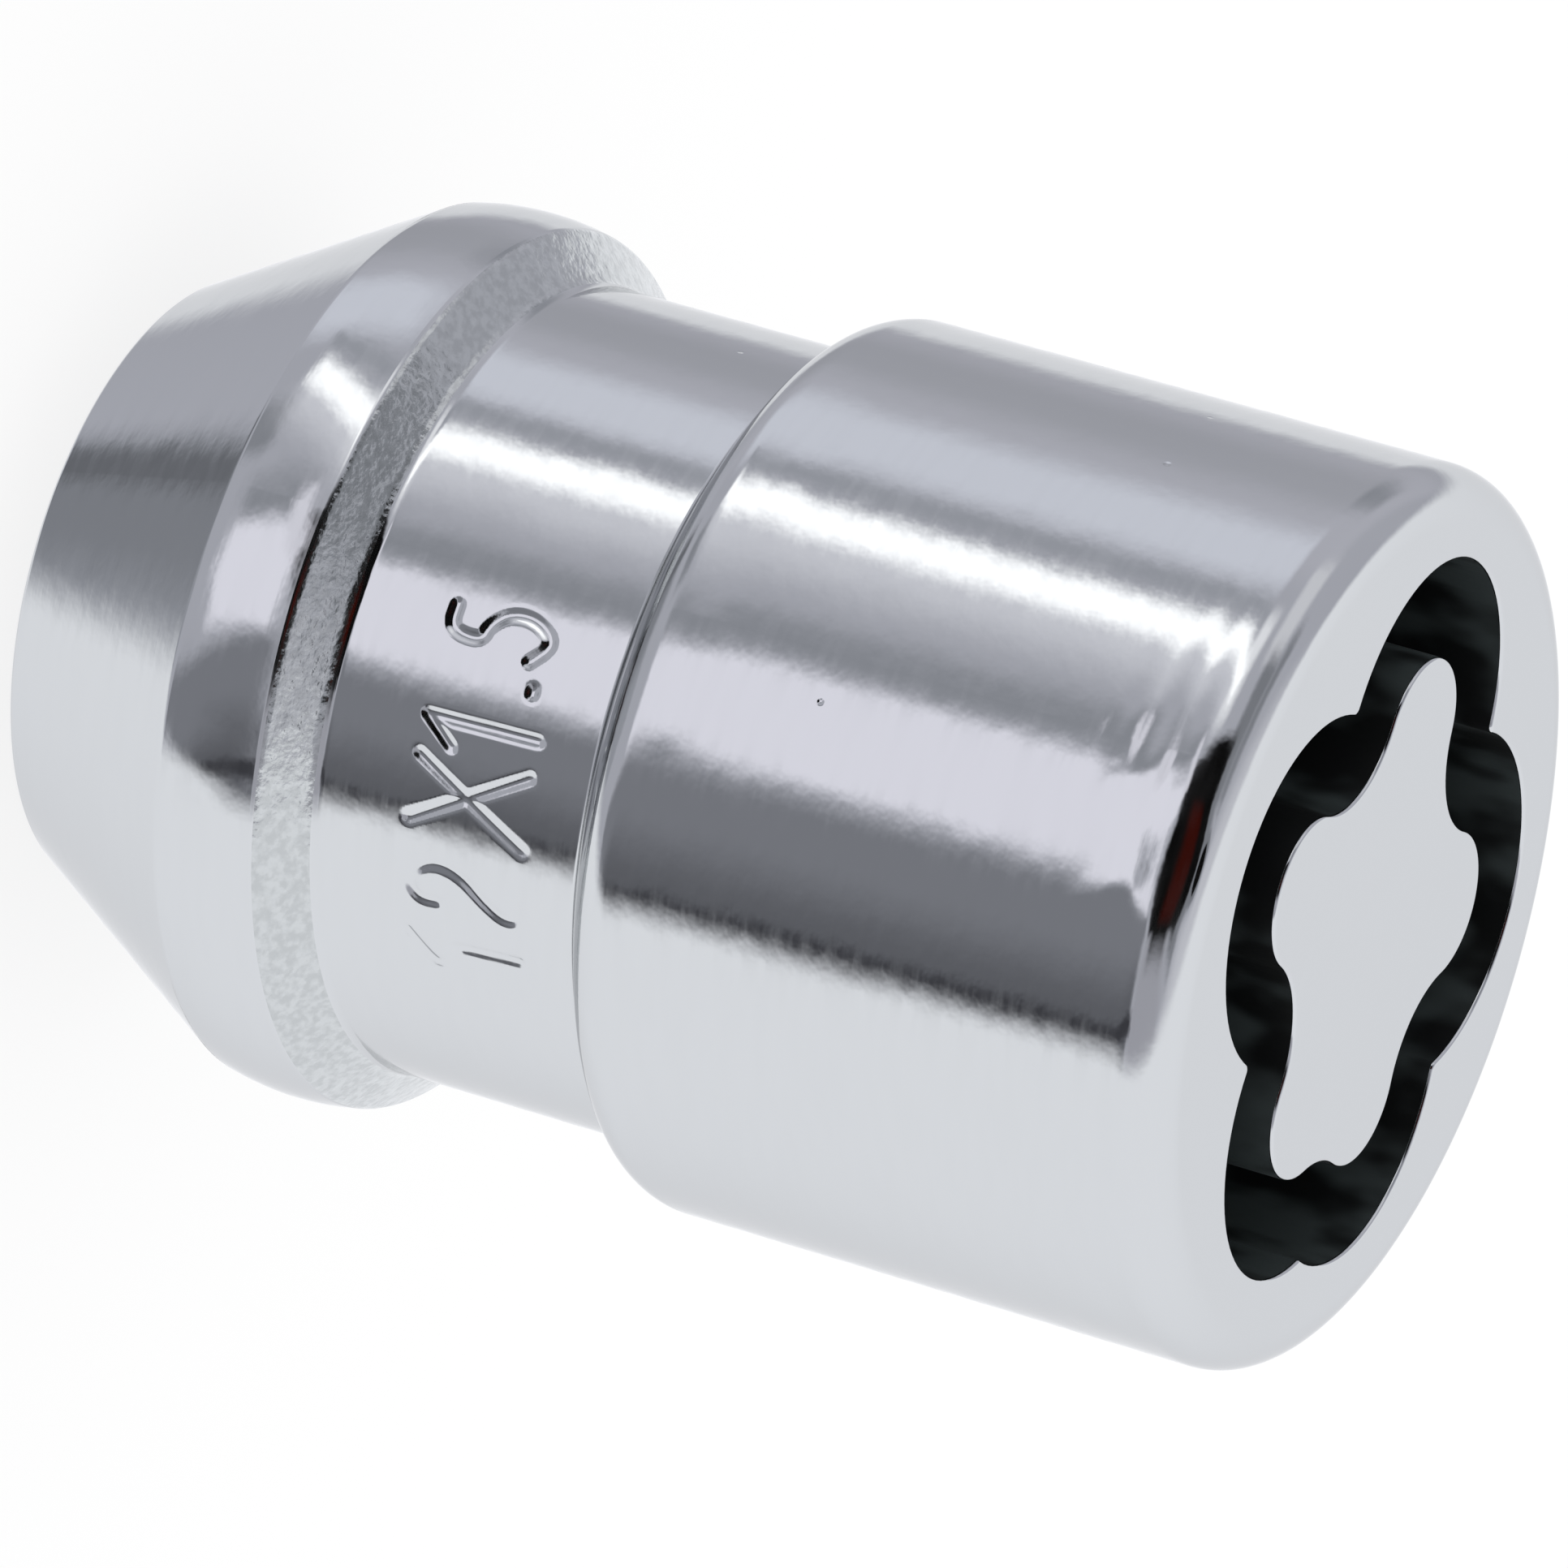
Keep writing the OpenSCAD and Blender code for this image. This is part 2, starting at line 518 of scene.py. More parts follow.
@dataclass
class Stamp:
    """Thread size stamped on the neck: shallow strokes with soft edges, read with the seat end up.

    A stroke is a row of points. A point's first number runs along the neck's arc in the reading direction,
    from the middle of the -Y side, and its second is the height above the seat end.
    """

    strokes: tuple[tuple[tuple[float, float], ...], ...] = (
        ((-6.85, 12.15), (-7.55, 12.8), (-7.6, 13.1), (-7.1, 13.45), (-6.95, 13.4), (-6.85, 15.15)),
        (
            (-5.8, 12.95), (-5.85, 12.5), (-5.5, 12.2), (-5.05, 12.35), (-4.78, 12.9),
            (-4.95, 13.6), (-5.5, 14.25), (-5.8, 14.75), (-5.7, 15.1), (-4.7, 15.15),
        ),
        ((-3.85, 12.1), (-2.1, 15.05)),
        ((-2.25, 12.15), (-3.9, 15.1)),
        ((-1.9, 12.9), (-1.28, 12.15), (-1.2, 15.05)),
        ((-0.2, 14.6), (-0.1, 14.6)),
        (
            (1.35, 12.1), (0.75, 12.1), (0.65, 12.95), (1.1, 13.05),
            (1.5, 13.5), (1.5, 14.2), (1.05, 14.8), (0.5, 14.3),
        ),
    )
    half_width: float = 0.23
    depth: float = 0.07
    # How many times the corners of a curved stroke are cut, where on its lines, and the fewest points of one
    corner_cuts: int = 2
    cut_at: tuple[float, float] = (0.25, 0.75)
    curved_from: int = 4
    # Direction of the -Y side, where the stamp's middle lies
    middle: float = -90.0
    sector: tuple[float, float] = (-104.0, -40.0)
    columns: int = 174
    rows: tuple[float, float] = (11.6, 15.7)

    @cached_property
    def lines(self) -> list[tuple]:
        """Return every short line of the strokes, with their inner corners cut round."""
        lines = []
        for stroke in self.strokes:
            for _ in range(self.corner_cuts if len(stroke) >= self.curved_from else 0):
                inner = []
                for here, there in zip(stroke, stroke[1:]):
                    for share in self.cut_at:
                        inner.append(tuple(a + (b - a) * share for a, b in zip(here, there)))
                stroke = (stroke[0], *inner[1:-1], stroke[-1])
            lines += list(zip(stroke, stroke[1:]))
        return lines

    def dent(self, along: float, height: float) -> float:
        """Return how deep the stamp is at a place on the unrolled neck, in millimetres."""
        if not self.rows[0] < height < self.rows[1]:
            return 0.0
        nearest = min(distance_to(along, height, here, there) for here, there in self.lines)
        share = min(1.0, nearest / self.half_width)
        return self.depth * (1 - share * share) ** 2


def distance_to(x: float, y: float, here: tuple[float, float], there: tuple[float, float]) -> float:
    """Return the distance from a flat point to the stretch between two others."""
    dx, dy = there[0] - here[0], there[1] - here[1]
    share = ((x - here[0]) * dx + (y - here[1]) * dy) / (dx * dx + dy * dy)
    share = min(1.0, max(0.0, share))
    return math.hypot(x - here[0] - dx * share, y - here[1] - dy * share)


@dataclass(frozen=True)
class Ripple:
    """One shallow swell that forging left on the round outside, before the plating.

    Its middle lies at an azimuth, in degrees from the -Y side towards +X, and at a height above the seat end.
    """

    azimuth: float
    height: float
    half_arc: float
    half_height: float
    rise: float
    # Degrees that the swell's middle moves round the nut for each millimetre of height
    lean: float = 0.0

    def lift(self, azimuth: float, height: float) -> float:
        """Return how far the swell moves the surface out at a place, in millimetres."""
        up = (height - self.height) / self.half_height
        turn = (azimuth - self.azimuth + 180) % 360 - 180
        aside = (turn - self.lean * (height - self.height)) / self.half_arc
        away = up * up + aside * aside
        return self.rise * (1 - away) ** 2 if away < 1 else 0.0


@dataclass
class NutBody:
    """The nut itself: one revolve with the key groove cut into its end and its thread size on the neck."""

    profile: Profile = field(default_factory=Profile)
    groove: KeyGroove = field(default_factory=KeyGroove)
    stamp: Stamp = field(default_factory=Stamp)
    ripples: tuple[Ripple, ...] = (
        Ripple(-14, 29.2, 15, 0.42, -0.012, -6),
        Ripple(-16, 29.7, 16, 0.42, 0.014, -6),
        Ripple(-19, 30.15, 21, 0.42, -0.016, -6),
        Ripple(-20, 30.6, 22, 0.4, 0.018, -6),
        Ripple(-18, 30.95, 22, 0.34, -0.014, -6),
        Ripple(-10, 30.3, 4, 1.3, 0.02, -4),
        Ripple(-17, 30.4, 4, 1.2, -0.012, -4),
        Ripple(4, 30.3, 4, 1, 0.02, -3),
        Ripple(-1, 31.6, 9, 1, -0.1),
        Ripple(-25, 18.7, 12, 1.2, -0.03, -3),
        Ripple(-6, 18.7, 11, 1.1, 0.025),
        Ripple(-44, 18.8, 11, 1.2, -0.02),
        Ripple(-17.5, 7.5, 5.5, 0.9, -0.014, -2),
        Ripple(-3, 7, 6, 1, -0.012),
        Ripple(-40, 7.4, 11, 1.2, -0.02, 3),
        Ripple(20, 7.2, 6, 1.2, 0.025),
        Ripple(-27, 14.2, 9, 2, -0.01),
        Ripple(70, 30, 12, 1.4, 0.03),
        Ripple(110, 18.7, 20, 1.2, -0.03),
        Ripple(150, 7.4, 14, 1.2, 0.03),
        Ripple(190, 30, 10, 1.4, -0.03),
        Ripple(225, 7.2, 12, 1.2, -0.03),
        Ripple(250, 30.1, 9, 1.3, 0.03),
    )
    plain_columns: int = 182
    weld: float = 0.004
    smooth_angle: float = 40.0
    # No swell lies this close to the key face, or this close behind the unpolished slope
    flat_by_face: float = 0.3
    flat_by_slope: float = 0.5
    # A face whose normal rises less than this is taken as a wall
    wall_rise: float = 0.1
    # How far the middle of a face may lie past the edge of its zone
    slack: float = 0.1
    # Solid steel between the groove's floor and the zone where bare faces belong to the bore
    bore_clear: float = 1.0
    # The unpolished slope: how far it runs into the neck's fillet, and the way that its faces look
    slope_over: float = 0.25
    slope_outward: tuple[float, float] = (0.62, 0.9)
    slope_upward: float = 0.45

    def build(self, materials: list[Material]) -> Object:
        """Model the nut and give it its finishes.

        Args:
            materials: One material for each Slot, in order.

        Returns:
            The finished piece, in metres.
        """
        obj = self.revolve()
        subtract(obj, self.groove.cutter(self.profile.length))
        self.round_lips(obj)
        self.press_stamp(obj)
        self.swell(obj)
        self.dress(obj, materials)
        to_metres(obj)
        return obj

    def revolve(self) -> Object:
        """Spin the half section in two stretches, with finer columns where the stamp lies."""
        start, end = self.stamp.sector
        turn = Matrix.Rotation(math.radians(start), 3, "Z")
        rows = [turn @ Vector((p[0], 0, p[1])) for p in self.profile.rows()]
        obj = start_vertex("wheel_nut_body", rows[0])
        extrude_chain(rows)
        bpy.ops.mesh.select_all(action="SELECT")
        for span, columns in ((end - start, self.stamp.columns), (360 - end + start, self.plain_columns)):
            bpy.ops.mesh.spin(steps=columns, angle=-math.radians(span), center=(0, 0, 0), axis=(0, 0, 1))
        bpy.ops.mesh.select_all(action="SELECT")
        bpy.ops.mesh.remove_doubles(threshold=self.weld)
        bpy.ops.mesh.select_all(action="DESELECT")
        bpy.ops.mesh.select_non_manifold(extend=False)
        bpy.ops.mesh.edge_face_add()
        face_outwards()
        return obj

    def round_lips(self, obj: Object) -> None:
        """Round the edges where the groove's walls meet the key face."""
        make_active(obj)
        top = self.profile.length
        mesh = obj.data
        for item in (*mesh.vertices, *mesh.edges, *mesh.polygons):
            item.select = False
        walls: set[int] = set()
        for face in mesh.polygons:
            on_wall = abs(face.normal.z) < self.wall_rise
            if on_wall and Vector(face.center[:2]).length < self.profile.key_face_r:
                walls.update(face.vertices)
        for edge in mesh.edges:
            ends = [mesh.vertices[i] for i in edge.vertices]
            edge.select = all(v.index in walls and abs(v.co.z - top) < self.weld for v in ends)
        bpy.ops.object.mode_set(mode="EDIT")
        bpy.ops.mesh.select_mode(type="EDGE")
        bpy.ops.mesh.bevel(offset=self.groove.lip_r, segments=self.groove.lip_segments, affect="EDGES")
        bpy.ops.mesh.select_mode(type="VERT")
        bpy.ops.object.mode_set(mode="OBJECT")

    def press_stamp(self, obj: Object) -> None:
        """Move the neck's vertices in towards the axis under each stroke of the stamp."""
        start, end = self.stamp.sector
        for vertex in obj.data.vertices:
            x, y, z = vertex.co
            radius = math.hypot(x, y)
            angle = math.degrees(math.atan2(y, x))
            if radius < self.profile.neck_r - self.weld or not start < angle < end:
                continue
            along = math.radians(self.stamp.middle - angle) * self.profile.neck_r
            sunk = self.stamp.dent(along, z)
            if sunk:
                vertex.co = Vector((x, y, 0)) * (1 - sunk / radius) + Vector((0, 0, z))

    def swell(self, obj: Object) -> None:
        """Lay the ripples on the outside of the flange, the neck and the head."""
        inside = self.profile.neck_r - 2 * self.stamp.depth
        plain_from = self.profile.length - self.flat_by_face
        neck_from = self.profile.neck_start + self.flat_by_slope
        for vertex in obj.data.vertices:
            x, y, z = vertex.co
            radius = math.hypot(x, y)
            if radius < inside or z > plain_from:
                continue
            if not self.profile.seat_top < z < self.profile.flange_back and z < neck_from:
                continue
            azimuth = math.degrees(math.atan2(x, -y))
            lift = sum(ripple.lift(azimuth, z) for ripple in self.ripples)
            if lift:
                vertex.co = Vector((x, y, 0)) * (1 + lift / radius) + Vector((0, 0, z))

    def finish_of(self, face: MeshPolygon) -> Slot:
        """Return the finish of a face by its place and the way it faces."""
        x, y, z = face.center
        radius = math.hypot(x, y)
        groove_floor = self.profile.length - self.groove.depth
        lip = self.profile.length - self.groove.lip_r
        if groove_floor - self.slack < z < lip and radius < self.profile.key_face_r:
            return Slot.GROOVE
        if radius < self.profile.mouth_r and z < groove_floor - self.bore_clear:
            return Slot.THREAD
        outward = (face.normal.x * x + face.normal.y * y) / (radius or 1)
        on_slope = self.profile.flange_back - self.slack < z < self.profile.neck_start + self.slope_over
        low, high = self.slope_outward
        if on_slope and low < outward < high and face.normal.z > self.slope_upward:
            return Slot.SATIN
        return Slot.CHROME

    def dress(self, obj: Object, materials: list[Material]) -> None:
        """Give each face its finish and smooth the shading, with flat faces kept flat."""
        for material in materials:
            obj.data.materials.append(material)
        for face in obj.data.polygons:
            face.material_index = self.finish_of(face).value
        make_active(obj)
        bpy.ops.object.shade_smooth_by_angle(angle=math.radians(self.smooth_angle))
        # Large flat faces keep the plate's reflections straight next to the small ones of a rounding
        apply_modifier(obj, "WEIGHTED_NORMAL", mode="FACE_AREA", weight=100, keep_sharp=True)


@dataclass
class StudThread:
    """Right-hand ridge of the stud's thread, wound inside the bore."""

    pitch: float = 1.5
    crest_r: float = 5.188
    root_r: float = 6.15
    crest_w: float = 0.375
    half_angle: float = 30.0
    start_z: float = 1.35
    turns: int = 12
    steps: int = 72
    weld: float = 0.001
    smooth_angle: float = 25.0

    def build(self, material: Material) -> Object:
        """Wind the ridge's section up the bore.

        Args:
            material: Finish of the thread.

        Returns:
            The finished piece, in metres.
        """
        crest = self.crest_w / 2
        root = crest + (self.root_r - self.crest_r) * math.tan(math.radians(self.half_angle))
        section = [(self.root_r, -root), (self.crest_r, -crest), (self.crest_r, crest), (self.root_r, root)]
        points = [Vector((r, 0, self.start_z + z)) for r, z in section]
        obj = start_vertex("stud_thread", points[0])
        extrude_chain([*points, points[0]])
        bpy.ops.mesh.select_all(action="SELECT")
        bpy.ops.mesh.remove_doubles(threshold=self.weld)
        bpy.ops.object.mode_set(mode="OBJECT")
        rounds = {"iterations": self.turns, "steps": self.steps, "render_steps": self.steps}
        apply_modifier(obj, "SCREW", screw_offset=self.pitch, **rounds)
        bpy.ops.object.mode_set(mode="EDIT")
        bpy.ops.mesh.select_all(action="SELECT")
        bpy.ops.mesh.fill_holes(sides=0)
        face_outwards()
        obj.data.materials.append(material)
        bpy.ops.object.shade_smooth_by_angle(angle=math.radians(self.smooth_angle))
        to_metres(obj)
        return obj


@dataclass(frozen=True)
class Waves:
    """One layer of relief or colour: noise whose cells have a real size across and along the nut's axis."""

    across: float
    along: float
    height: float
    detail: float = 2.0

    def add(self, tree: NodeTree, place: NodeSocket) -> NodeSocket:
        """Return the layer's noise, from 0 to 1, at a place on the nut.

        Args:
            tree: Node tree of the material.
            place: Object coordinates in metres.

        Returns:
            The noise as a socket.
        """
        scale = (1 / (self.across * MM), 1 / (self.across * MM), 1 / (self.along * MM))
        mapped = add_node(tree, "ShaderNodeMapping", {"Vector": place, "Scale": scale})
        links = {"Vector": mapped.outputs[0], "Scale": 1.0, "Detail": self.detail}
        return add_node(tree, "ShaderNodeTexNoise", links).outputs["Fac"]


@dataclass(frozen=True)
class Pits:
    """Sparse round pits where the plating missed a spot: one at most for each cell of a real size."""

    spacing: float
    radius: float
    height: float
    # Share of the cells that hold a pit
    share: float

    def add(self, tree: NodeTree, place: NodeSocket) -> NodeSocket:
        """Return the relief, 0 in a pit's middle and 1 outside, at a place on the nut.

        Args:
            tree: Node tree of the material.
            place: Object coordinates in metres.

        Returns:
            The relief as a socket.
        """
        links = {"Vector": place, "Scale": 1 / (self.spacing * MM), "Randomness": 1.0}
        cells = add_node(tree, "ShaderNodeTexVoronoi", links)
        hue = add_node(tree, "ShaderNodeSeparateColor", {"Color": cells.outputs["Color"]}).outputs["Red"]
        bare = math_node(tree, "GREATER_THAN", hue, self.share)
        inside = smooth_step(tree, cells.outputs["Distance"], 0.0, self.radius / self.spacing)
        return math_node(tree, "MAXIMUM", inside, bare)


def stacked_relief(tree: NodeTree, place: NodeSocket, layers: tuple[Waves | Pits, ...]) -> NodeSocket:
    """Stack layers of relief into one bumped normal.

    Args:
        tree: Node tree of the material.
        place: Object coordinates in metres.
        layers: The layers, the last on top.

    Returns:
        The bumped normal as a socket.
    """
    normal = None
    for layer in layers:
        links = {"Height": layer.add(tree, place), "Distance": layer.height * MM, "Strength": 1.0}
        if normal is not None:
            links["Normal"] = normal
        normal = add_node(tree, "ShaderNodeBump", links).outputs["Normal"]
    return normal


@dataclass(frozen=True)
class ChromePlate:
    """Bright chrome over nickel on turned and barrelled steel.

    To the eye it is a cool mirror. The slow relief makes its bands wavy, the turning marks fray their edges
    into short streaks, and smears and a few pits break its evenness.
    """

    tint: str = "#CFD1D3"
    edge_tint: str = "#E6E6E6"
    roughness: tuple[float, float] = (0.05, 0.12)
    relief: tuple[Waves | Pits, ...] = (
        Waves(across=2.6, along=1.6, height=0.014),
        Waves(across=8.0, along=0.22, height=0.0013),
        Waves(across=0.5, along=0.4, height=0.0036),
        Pits(spacing=1.5, radius=0.12, height=0.02, share=0.06),
    )
    smear: Waves = Waves(across=2.0, along=0.3, height=0.0)
    smear_span: tuple[float, float] = (0.35, 0.65)

    def make(self) -> Material:
        """Return the material."""
        material, tree, shader, place = start_material("chrome_plate", self.relief, metallic=1.0)
        shader.inputs["Base Color"].default_value = colour(self.tint)
        shader.inputs["Specular Tint"].default_value = colour(self.edge_tint)
        least, most = self.roughness
        smear = smooth_step(tree, self.smear.add(tree, place), *self.smear_span)
        rough = math_node(tree, "MULTIPLY_ADD", smear, most - least, least)
        tree.links.new(rough, shader.inputs["Roughness"])
        return material


@dataclass(frozen=True)
class SatinSlope:
    """Plated but unpolished slope, where the turned steel's grit shows through the plate.

    To the eye it is a grey grainy ring that scatters the light. Its grain is drawn coarser than the real
    grit, so that it still shows in the render.
    """

    light: str = "#CACDCE"
    dark: str = "#BCBFC0"
    roughness: float = 0.17
    grit: Waves = Waves(across=0.26, along=0.2, height=0.0, detail=3.0)
    grit_span: tuple[float, float] = (0.35, 0.65)
    relief: tuple[Waves, ...] = (
        Waves(across=0.5, along=0.32, height=0.035),
        Waves(across=0.14, along=0.12, height=0.012),
    )

    def make(self) -> Material:
        """Return the material."""
        material, tree, shader, place = start_material("satin_plated_slope", self.relief, metallic=1.0)
        hollows = smooth_step(tree, self.grit.add(tree, place), *self.grit_span)
        shade = mix_colours(tree, hollows, colour(self.dark), colour(self.light))
        tree.links.new(shade, shader.inputs["Base Color"])
        shader.inputs["Roughness"].default_value = self.roughness
        return material


@dataclass(frozen=True)
class DarkGroove:
    """Forged walls that the plating did not reach: blackened steel.

    To the eye it is almost black, with faint grey patches and hardly any shine.
    """

    light: str = "#363D3E"
    dark: str = "#0A0C0D"
    roughness: float = 0.42
    stain: Waves = Waves(across=1.6, along=3.0, height=0.0)
    stain_span: tuple[float, float] = (0.4, 0.62)
    relief: tuple[Waves, ...] = (Waves(across=0.3, along=2.0, height=0.01),)

    def make(self) -> Material:
        """Return the material."""
        material, tree, shader, place = start_material("blackened_steel_groove", self.relief)
        patches = smooth_step(tree, self.stain.add(tree, place), *self.stain_span)
        shade = mix_colours(tree, patches, colour(self.dark), colour(self.light))
        tree.links.new(shade, shader.inputs["Base Color"])
        shader.inputs["Roughness"].default_value = self.roughness
        return material


@dataclass(frozen=True)
class ThreadSteel:
    """Cut thread with a thin film of plating.

    To the eye it is grey steel, duller than the outside, with tool marks that run round the bore.
    """

    tint: str = "#8A8C8C"
    roughness: float = 0.3
    relief: tuple[Waves, ...] = (Waves(across=4.0, along=0.12, height=0.004),)

    def make(self) -> Material:
        """Return the material."""
        material, _, shader, _ = start_material("cut_thread_steel", self.relief, metallic=1.0)
        shader.inputs["Base Color"].default_value = colour(self.tint)
        shader.inputs["Roughness"].default_value = self.roughness
        return material


def start_material(name: str, relief: tuple[Waves | Pits, ...] = (), metallic: float = 0.0) -> tuple:
    """Make a node material with one principled shader, bumped by its relief.

    Args:
        name: Name of the material.
        relief: Layers of relief, the last on top.
        metallic: 1 for bare or plated metal, and 0 for anything else.

    Returns:
        The material, its node tree, the shader node and a socket with the object coordinates.
    """
    material = bpy.data.materials.new(name)
    material.use_nodes = True
    tree = material.node_tree
    shader = tree.nodes["Principled BSDF"]
    shader.inputs["Metallic"].default_value = metallic
    place = add_node(tree, "ShaderNodeTexCoord").outputs["Object"]
    if relief:
        tree.links.new(stacked_relief(tree, place, relief), shader.inputs["Normal"])
    return material, tree, shader, place


@dataclass(frozen=True)
class Card:
    """A soft-edged card, lamp or flag that hangs round the nut, by its place on a map of the studio.

    The map's centre is the studio's ceiling. A place on it is that many degrees from the ceiling, towards
    the right and towards the nut's key end.
    """

    name: str
    centre: tuple[float, float]
    half_size: tuple[float, float]
    level: float
    tint: str = "#FFFFFF"
    soft: float = 4.0
    lean: float = 0.0

    def mask(self, tree: NodeTree, right: NodeSocket, up: NodeSocket) -> NodeSocket:
        """Return how much of the card a direction sees, from 0 to 1.

        Args:
            tree: Node tree of the world.
            right: Degrees to the right on the map.
            up: Degrees towards the key end on the map.

        Returns:
            The share as a socket.
        """
        across = math_node(tree, "SUBTRACT", right, self.centre[0])
        along = math_node(tree, "SUBTRACT", up, self.centre[1])
        if self.lean:
            cos, sin = math.cos(math.radians(self.lean)), math.sin(math.radians(self.lean))
            turned = math_node(tree, "MULTIPLY_ADD", across, cos, math_node(tree, "MULTIPLY", along, sin))
            along = math_node(tree, "MULTIPLY_ADD", along, cos, math_node(tree, "MULTIPLY", across, -sin))
            across = turned
        shares = [
            smooth_step(tree, math_node(tree, "ABSOLUTE", value), half + self.soft / 2, half - self.soft / 2)
            for value, half in ((across, self.half_size[0]), (along, self.half_size[1]))
        ]
        return math_node(tree, "MULTIPLY", *shares)


@dataclass(frozen=True)
class Studio:
    """Plain soft light from all round, a pale table on one side, and cards that give the plate its bands."""

    ceiling_azimuth: float = -138.9
    ceiling_lift: float = 3.2
    table_at: float = 97.0
    table_soft: float = 4.5
    table_level: float = 1.1
    table_tint: str = "#FBFCFF"
    room_level: float = 0.6
    room_tint: str = "#F4F5FF"
    cards: tuple[Card, ...] = (
        Card("right wall", (62, -30), (30, 60), 0.66, "#F5F5FF", 16),
        Card("right wall's shade", (70, -32), (10, 30), 0.56, "#F5F6FF", 14),
        Card("near wall", (38, -32), (10, 18), 0.94, "#F3F5FF", 12),
        Card("dark wall", (-76, -38), (22, 30), 0.3, "#F2F4FF", 8),
        Card("darker end of the wall", (-86, -38), (12, 30), 0.18, "#F2F4FF", 16),
        Card("gap by the table", (-87, -38), (3, 40), 0.07, "#F0F0FF", 4),
        Card("lilac card", (-38, -28), (13, 18), 1.12, "#F8F6FF", 6, 8),
        Card("dark stripe", (-19, -28), (5, 15), 0.4, "#F2F5FF", 9),
        Card("foot of the dark stripe", (1, -47), (7, 7), 0.37, "#F2F5FF", 7),
        Card("glow beside the lamp", (-1, -18), (6, 24), 0.9, "#F8F8FF", 14, 25),
        Card("shine over the lamp", (4, 1), (15, 9), 1.12, "#FCFCFF", 10),
        Card("strip lamp", (7, -17), (4.4, 23), 1.7, "#FFFFFF", 6, 25),
        Card("dark stripe by the lamp", (22, -24), (2.6, 14), 0.5, "#F2F5FF", 5, 20),
        Card("pale card over the lamp", (28, 31), (15, 12), 0.86, "#FAFAFF", 9, -20),
        Card("dark bar over the lamp", (14, 61), (20, 5), 0.33, "#F2F5FF", 8, -20),
        Card("dark card over the flag", (-14, 54), (34, 11), 0.3, "#F2F5FF", 10, -20),
        Card("dark corner", (69, -4), (7, 16), 0.42, "#F2F5FF", 13),
        Card("wall by the seat end", (40, -80), (26, 16), 0.64, "#F4F5FF", 6),
        Card("dark wall by the seat end", (-4, -90), (24, 19), 0.46, "#F2F5FF", 6),
        Card("darker end by the seat end", (7, -88), (14, 19), 0.34, "#F2F5FF", 14),
        Card("black stripe by the seat end", (15, -80), (4, 14), 0.22, "#F2F5FF", 6),
        Card("left wall by the key end", (-76, 50), (22, 50), 0.52, "#F5F5FF", 16),
        Card("haze by the key end", (0, 96), (100, 16), 0.8, "#F8F8FF", 20),
        Card("black flag", (-34, 25), (21.5, 33), 0.004, "#FFFFFF", 5, -20),
        Card("pale edge under the flag", (-25, -14), (9, 4), 1.0, "#F8F6FF", 5, -20),
        Card("foot of the black flag", (-55, 28), (8, 20), 0.01, "#FFFFFF", 12, -20),
        Card("red glow in the flag", (-41, 28), (8, 13), 0.045, "#FF4A28", 12, -20),
    )
    lamp_side: float = 0.5
    lamp_place: tuple[float, float, float] = (-0.15, 0.1, 0.6)
    lamp_power: float = 0.6
    floor_side: float = 3.0
    # The floor lies a hair below the seat end, so that the two faces don't fight from below
    floor_gap: float = 0.00002
    floor_tint: str = "#F7F7F7"
    floor_roughness: float = 0.9
    white_share: float = 0.8

    def build(self) -> None:
        """Make the floor, the soft lamp and the world."""
        self.lay_floor()
        self.hang_lamp()
        self.paint_world()

    def lay_floor(self) -> None:
        """Lay the plain pale floor that the nut stands on."""
        deselect_all()
        bpy.ops.mesh.primitive_plane_add(size=self.floor_side, location=(0, 0, -self.floor_gap))
        floor = bpy.context.object
        floor.name = "floor"
        material, _, shader, _ = start_material("matt_pale_floor")
        shader.inputs["Base Color"].default_value = colour(self.floor_tint)
        shader.inputs["Roughness"].default_value = self.floor_roughness
        shader.inputs["Specular IOR Level"].default_value = 0.0
        self.lift_white(material.node_tree, shader)
        floor.data.materials.append(material)
        floor.visible_glossy = False
        floor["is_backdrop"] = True

    def lift_white(self, tree: NodeTree, shader: Node) -> None:
        """Let what is seen of the floor keep only a share of the shadow, and the rest be plain white.

        Args:
            tree: Node tree of the floor's material.
            shader: The floor's own shader.
        """
        white = add_node(tree, "ShaderNodeEmission", {"Color": WHITE, "Strength": 1.0})
        rays = add_node(tree, "ShaderNodeLightPath").outputs
        seen = math_node(tree, "ADD", rays["Is Camera Ray"], rays["Is Glossy Ray"])
        seen = math_node(tree, "ADD", seen, rays["Is Transmission Ray"])
        share = math_node(tree, "MULTIPLY", math_node(tree, "MINIMUM", seen, 1.0), self.white_share)
        both = add_node(tree, "ShaderNodeMixShader", {0: share, 1: shader.outputs[0], 2: white.outputs[0]})
        tree.links.new(both.outputs[0], tree.nodes["Material Output"].inputs["Surface"])

    def hang_lamp(self) -> None:
        """Hang one large soft lamp over the nut."""
        data = bpy.data.lights.new("soft_lamp", "AREA")
        data.size = self.lamp_side
        data.energy = self.lamp_power
        lamp = bpy.data.objects.new("soft_lamp", data)
        lamp.location = self.lamp_place
        lamp.rotation_euler = (-lamp.location).to_track_quat("-Z", "Y").to_euler()
        lamp.visible_glossy = False
        bpy.context.scene.collection.objects.link(lamp)

    def axes(self) -> tuple[Vector, Vector, Vector]:
        """Return the map's axes: to the ceiling, to the right, and towards the key end."""
        lift, turn = math.radians(self.ceiling_lift), math.radians(self.ceiling_azimuth)
        ceiling = Vector((math.cos(lift) * math.cos(turn), math.cos(lift) * math.sin(turn), math.sin(lift)))
        right = Vector((0, 0, 1)).cross(ceiling).normalized()
        return ceiling, -right, ceiling.cross(right)

